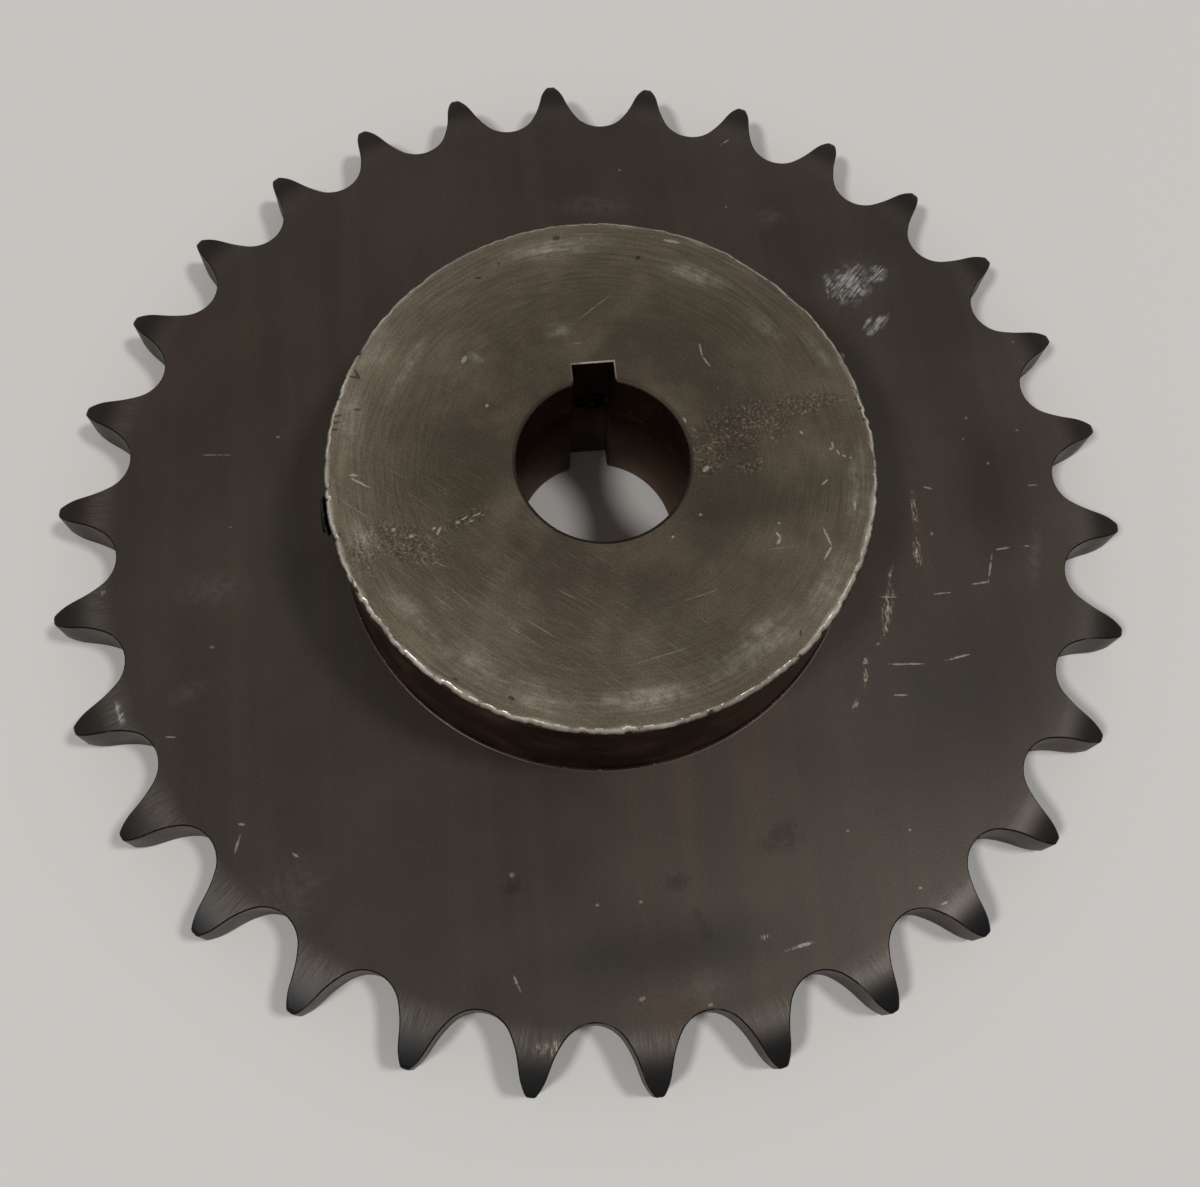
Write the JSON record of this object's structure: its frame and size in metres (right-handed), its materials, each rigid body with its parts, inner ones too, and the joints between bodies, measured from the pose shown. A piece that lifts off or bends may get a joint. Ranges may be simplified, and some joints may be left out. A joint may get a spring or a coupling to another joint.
{
  "type": "chain sprocket",
  "caption": "Flat toothed steel wheel with a raised hub, a keyed bore and set screws, which drives a roller chain or is driven by one.",
  "frame": {"origin": "on the bore's axis, in the back face that the sprocket stands on", "axes": "+Z along the bore's axis from the back face to the hub's front face; +Y through the middle of the keyway and of one tooth"},
  "size_m": [0.2556, 0.257, 0.0508],
  "materials": {
    "sprocket_steel": "machined carbon steel, dark and oiled, with bare worn edges",
    "screw_steel": "black oxide alloy steel"
  },
  "bodies": {
    "root": {"sprocket": "sprocket_steel", "set_screw_keyway": "screw_steel", "set_screw_side": "screw_steel"}
  },
  "joints": []
}
